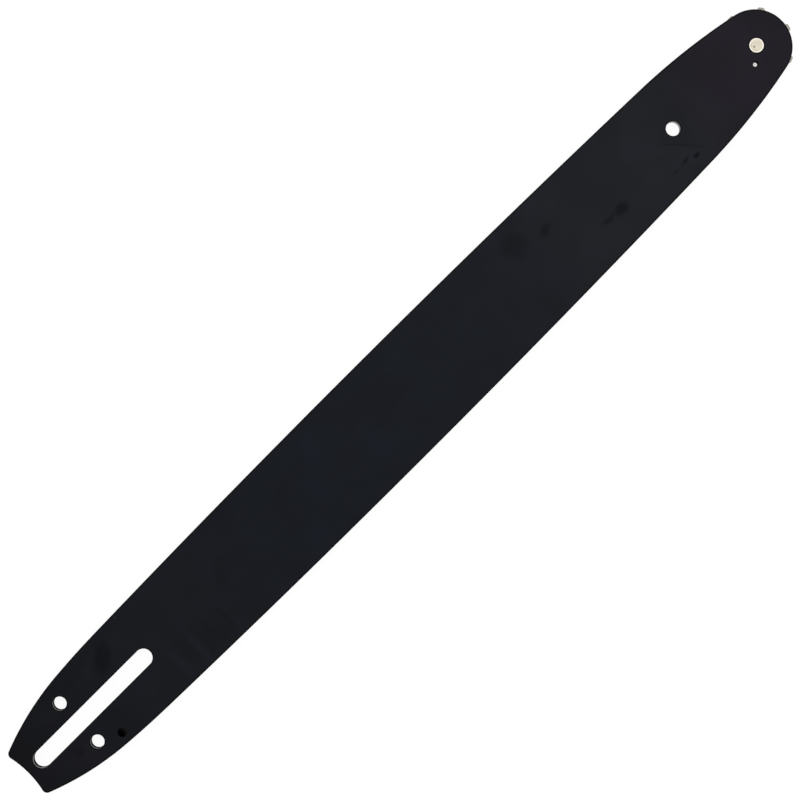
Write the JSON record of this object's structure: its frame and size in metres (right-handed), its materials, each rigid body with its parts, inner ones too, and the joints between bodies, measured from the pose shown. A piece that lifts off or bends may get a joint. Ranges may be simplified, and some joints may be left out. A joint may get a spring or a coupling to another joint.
{
  "type": "chainsaw guide bar",
  "caption": "Long flat laminated bar with a chain groove round its edge, a stud slot and tensioner holes at the tail, and a toothed sprocket that turns on rollers in its rounded nose.",
  "frame": {"origin": "middle of the stud slot, halfway through the bar's thickness", "axes": "+Y along the bar to the nose, +X to its right-hand edge seen from the front, +Z out of the front side plate"},
  "size_m": [0.0544, 0.5166, 0.0042],
  "materials": {
    "side_plate_paint": "satin",
    "core_steel": "dull, oiled",
    "sprocket_steel": "satin",
    "bearing_steel": "ground",
    "rivet_steel": "ground flush"
  },
  "bodies": {
    "bar": {"front_side_plate": "side_plate_paint", "back_side_plate": "side_plate_paint", "core_plate": "core_steel", "bearing_inner_race": "bearing_steel", "nose_rivet": "rivet_steel"},
    "sprocket": {"nose_sprocket": "sprocket_steel"},
    "rollers": {"needle_roller_01": "bearing_steel", "needle_roller_02": "bearing_steel", "needle_roller_03": "bearing_steel", "needle_roller_04": "bearing_steel", "needle_roller_05": "bearing_steel", "needle_roller_06": "bearing_steel", "needle_roller_07": "bearing_steel", "needle_roller_08": "bearing_steel", "needle_roller_09": "bearing_steel", "needle_roller_10": "bearing_steel", "needle_roller_11": "bearing_steel", "needle_roller_12": "bearing_steel", "needle_roller_13": "bearing_steel", "needle_roller_14": "bearing_steel", "needle_roller_15": "bearing_steel", "needle_roller_16": "bearing_steel", "needle_roller_17": "bearing_steel", "needle_roller_18": "bearing_steel", "needle_roller_19": "bearing_steel", "needle_roller_20": "bearing_steel"}
  },
  "joints": [
    {"name": "sprocket_spin", "type": "hinge", "parent": "bar", "child": "sprocket", "pos_m": [0, 0.453, 0], "axis": [0, 0, 1], "continuous": true},
    {"name": "roller_orbit", "type": "hinge", "parent": "bar", "child": "rollers", "pos_m": [0, 0.453, 0], "axis": [0, 0, 1], "continuous": true}
  ],
  "couplings": [
    {"joint": "roller_orbit", "follows": "sprocket_spin", "ratio": 0.5775}
  ]
}
